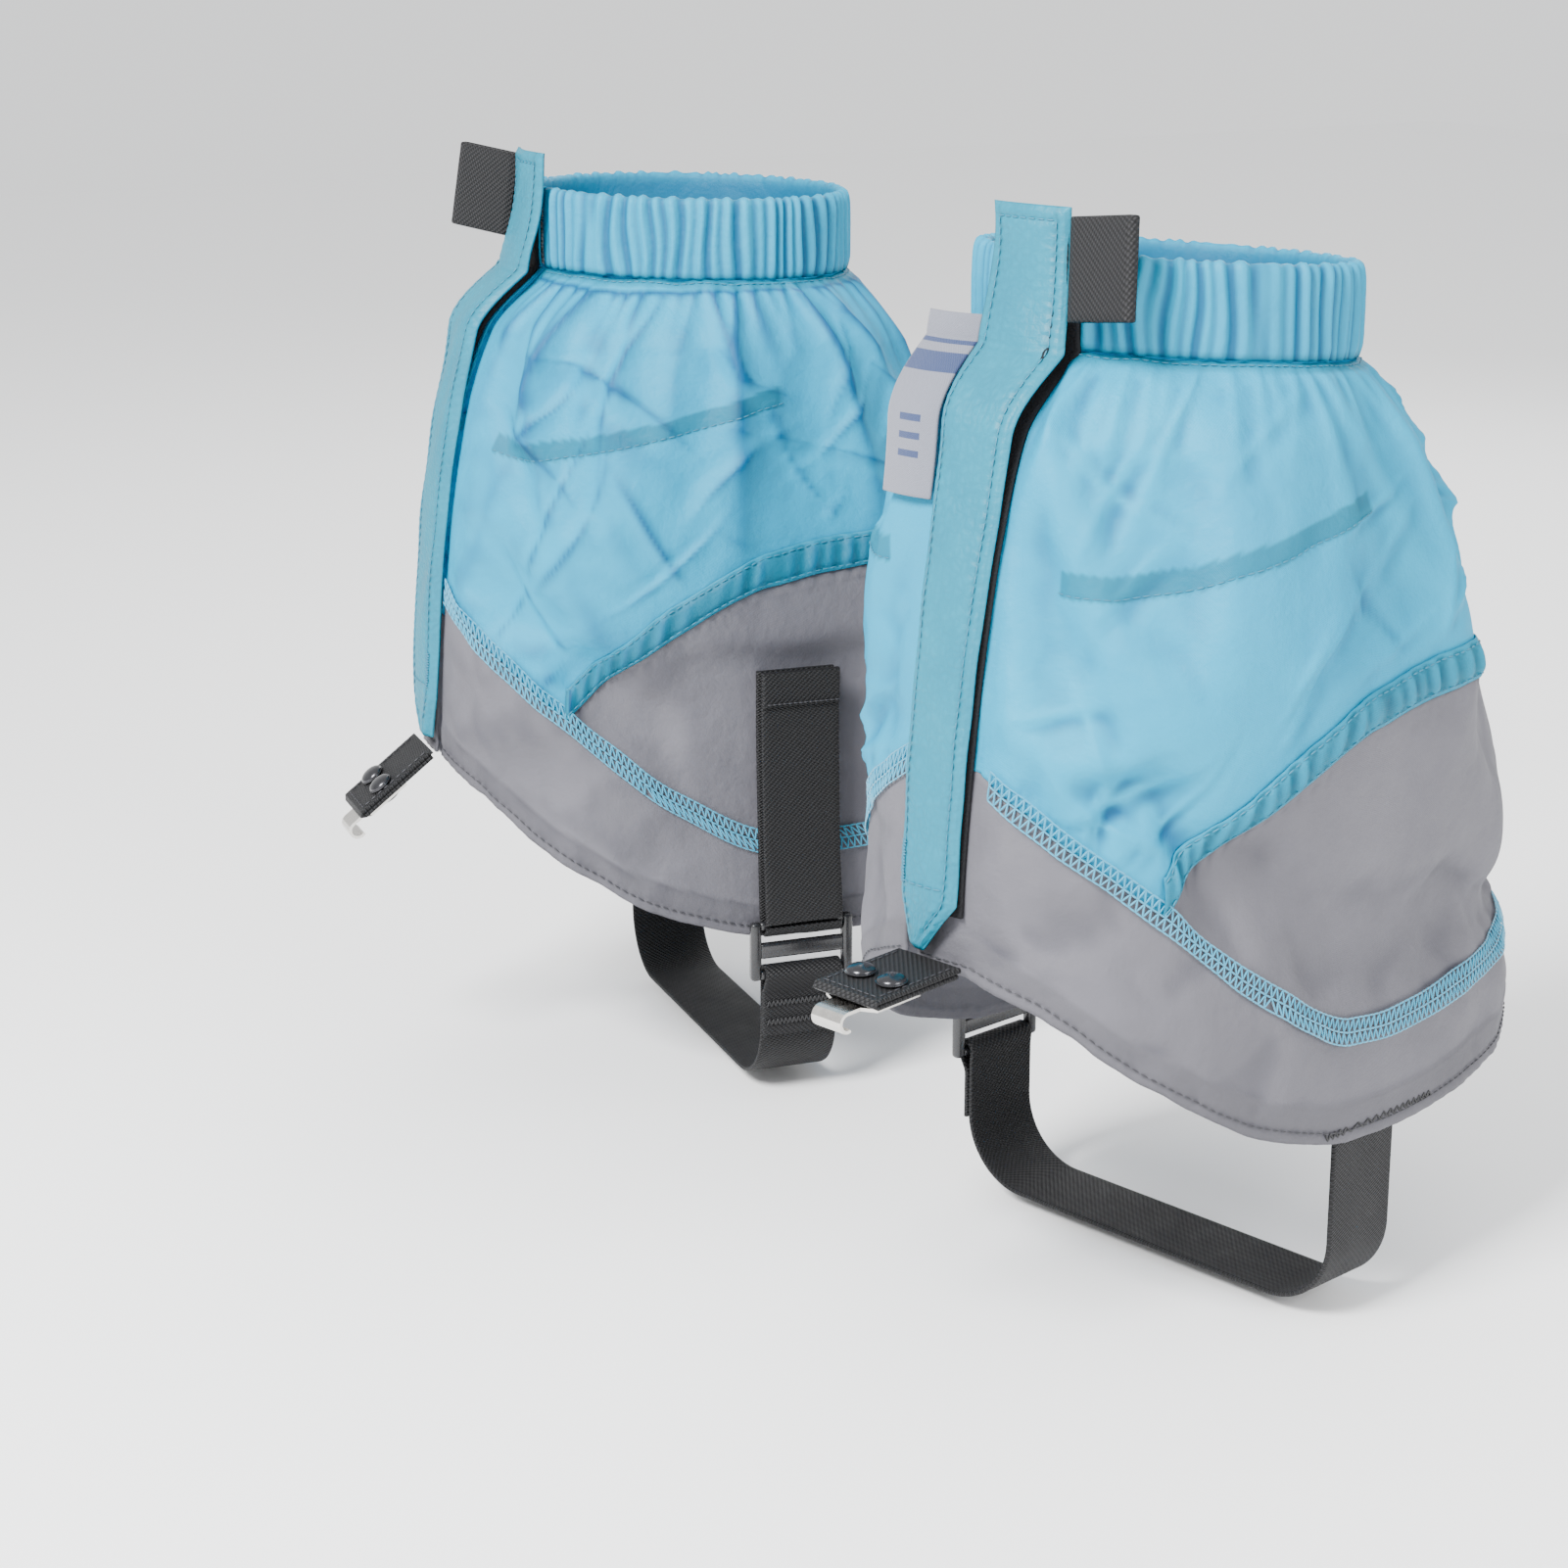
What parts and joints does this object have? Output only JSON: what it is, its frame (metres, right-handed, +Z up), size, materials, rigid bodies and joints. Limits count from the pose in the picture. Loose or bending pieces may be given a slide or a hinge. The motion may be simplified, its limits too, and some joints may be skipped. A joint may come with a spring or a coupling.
{
  "type": "ankle gaiters",
  "caption": "Pair of low hiking gaiters with elastic cuffs, hook-and-loop front flaps ending in riveted lace hooks, and instep straps with ladder sliders.",
  "frame": {"origin": "on the ground, midway between the two leg axes", "axes": "+Z up, the toes point to -Y and out by 11.3 degrees, +X is the wearer's left"},
  "size_m": [0.355, 0.2435, 0.2863],
  "materials": {
    "sky_nylon": "thin coated nylon, translucent",
    "flap_nylon": "crinkled ripstop nylon",
    "grey_nylon": "heathered nylon",
    "cyan_thread": "sewing thread",
    "black_webbing": "woven webbing",
    "hook_and_loop": "hook-and-loop tape",
    "white_elastic": "braided elastic",
    "woven_label": "woven label",
    "black_plastic": "moulded acetal, glossy",
    "gunmetal": "dark plated, polished",
    "nickel": "nickel plated"
  },
  "bodies": {
    "left_gaiter": {"left_adjuster_strap": "black_webbing", "left_cover_stitch": "cyan_thread", "left_cuff_casing": "sky_nylon", "left_cuff_elastic": "white_elastic", "left_facing_strip_inner": "sky_nylon", "left_facing_strip_outer": "sky_nylon", "left_heel_casing": "sky_nylon", "left_heel_elastic": "white_elastic", "left_heel_panel": "grey_nylon", "left_hem_bar_tack": "black_webbing", "left_hook_tape": "hook_and_loop", "left_instep_strap": "black_webbing", "left_lower_bar_tack": "black_webbing", "left_skirt_panel": "grey_nylon", "left_slider": "black_plastic", "left_strap_loop_tape": "hook_and_loop", "left_upper_bar_tack": "black_webbing", "left_upper_shell": "sky_nylon", "left_woven_label": "woven_label"},
    "left_flap": {"left_front_flap": "flap_nylon", "left_loop_tape": "hook_and_loop", "left_pull_tab_foot": "black_webbing"},
    "left_pull_tab_loop": {"left_pull_tab": "black_webbing"},
    "left_lace_tab": {"left_hook_tab": "black_webbing", "left_lace_hook": "nickel", "left_rivet_1": "gunmetal", "left_rivet_2": "gunmetal"},
    "left_tail": {"left_strap_tail": "black_webbing", "left_strap_hook_tape": "hook_and_loop"},
    "right_gaiter": {"right_adjuster_strap": "black_webbing", "right_cover_stitch": "cyan_thread", "right_cuff_casing": "sky_nylon", "right_cuff_elastic": "white_elastic", "right_facing_strip_inner": "sky_nylon", "right_facing_strip_outer": "sky_nylon", "right_heel_casing": "sky_nylon", "right_heel_elastic": "white_elastic", "right_heel_panel": "grey_nylon", "right_hem_bar_tack": "black_webbing", "right_hook_tape": "hook_and_loop", "right_instep_strap": "black_webbing", "right_lower_bar_tack": "black_webbing", "right_skirt_panel": "grey_nylon", "right_slider": "black_plastic", "right_strap_loop_tape": "hook_and_loop", "right_upper_bar_tack": "black_webbing", "right_upper_shell": "sky_nylon"},
    "right_flap": {"right_front_flap": "flap_nylon", "right_loop_tape": "hook_and_loop", "right_pull_tab_foot": "black_webbing"},
    "right_pull_tab_loop": {"right_pull_tab": "black_webbing"},
    "right_lace_tab": {"right_hook_tab": "black_webbing", "right_lace_hook": "nickel", "right_rivet_1": "gunmetal", "right_rivet_2": "gunmetal"},
    "right_tail": {"right_strap_tail": "black_webbing", "right_strap_hook_tape": "hook_and_loop"}
  },
  "joints": [
    {"name": "left_flap_hinge", "type": "hinge", "parent": "left_gaiter", "child": "left_flap", "pos_m": [0.11532, -0.0814, 0.16], "axis": [0.0393, -0.1333, -0.9903], "range_deg": [0, 120]},
    {"name": "left_pull_tab_hinge", "type": "hinge", "parent": "left_flap", "child": "left_pull_tab_loop", "pos_m": [0.13267, -0.04337, 0.27577], "axis": [0.1186, -0.1073, -0.9871], "range_deg": [-15, 75]},
    {"name": "left_lace_tab_hinge", "type": "hinge", "parent": "left_gaiter", "child": "left_lace_tab", "pos_m": [0.1274, -0.07956, 0.105], "axis": [0.9806, 0.1959, 0], "range_deg": [-12, 65]},
    {"name": "left_strap_tail_hinge", "type": "hinge", "parent": "left_gaiter", "child": "left_tail", "pos_m": [0.03797, 0.0028, 0.0579], "axis": [0.1959, -0.9806, 0], "range_deg": [0, 60]},
    {"name": "right_flap_hinge", "type": "hinge", "parent": "right_gaiter", "child": "right_flap", "pos_m": [-0.11532, -0.0964, 0.16], "axis": [0.0405, 0.1371, 0.9897], "range_deg": [0, 120]},
    {"name": "right_pull_tab_hinge", "type": "hinge", "parent": "right_flap", "child": "right_pull_tab_loop", "pos_m": [-0.13267, -0.05837, 0.27292], "axis": [0.1178, 0.1066, 0.9873], "range_deg": [-45, 30]},
    {"name": "right_lace_tab_hinge", "type": "hinge", "parent": "right_gaiter", "child": "right_lace_tab", "pos_m": [-0.1274, -0.09456, 0.105], "axis": [0.9806, -0.1959, 0], "range_deg": [-45, 25]},
    {"name": "right_strap_tail_hinge", "type": "hinge", "parent": "right_gaiter", "child": "right_tail", "pos_m": [-0.03797, -0.01221, 0.0579], "axis": [0.1959, 0.9806, 0], "range_deg": [0, 60]},
    {"name": "pair_slide", "type": "slide", "parent": "left_gaiter", "child": "right_gaiter", "axis": [-1, 0, 0], "range_m": [0, 0.2]}
  ]
}
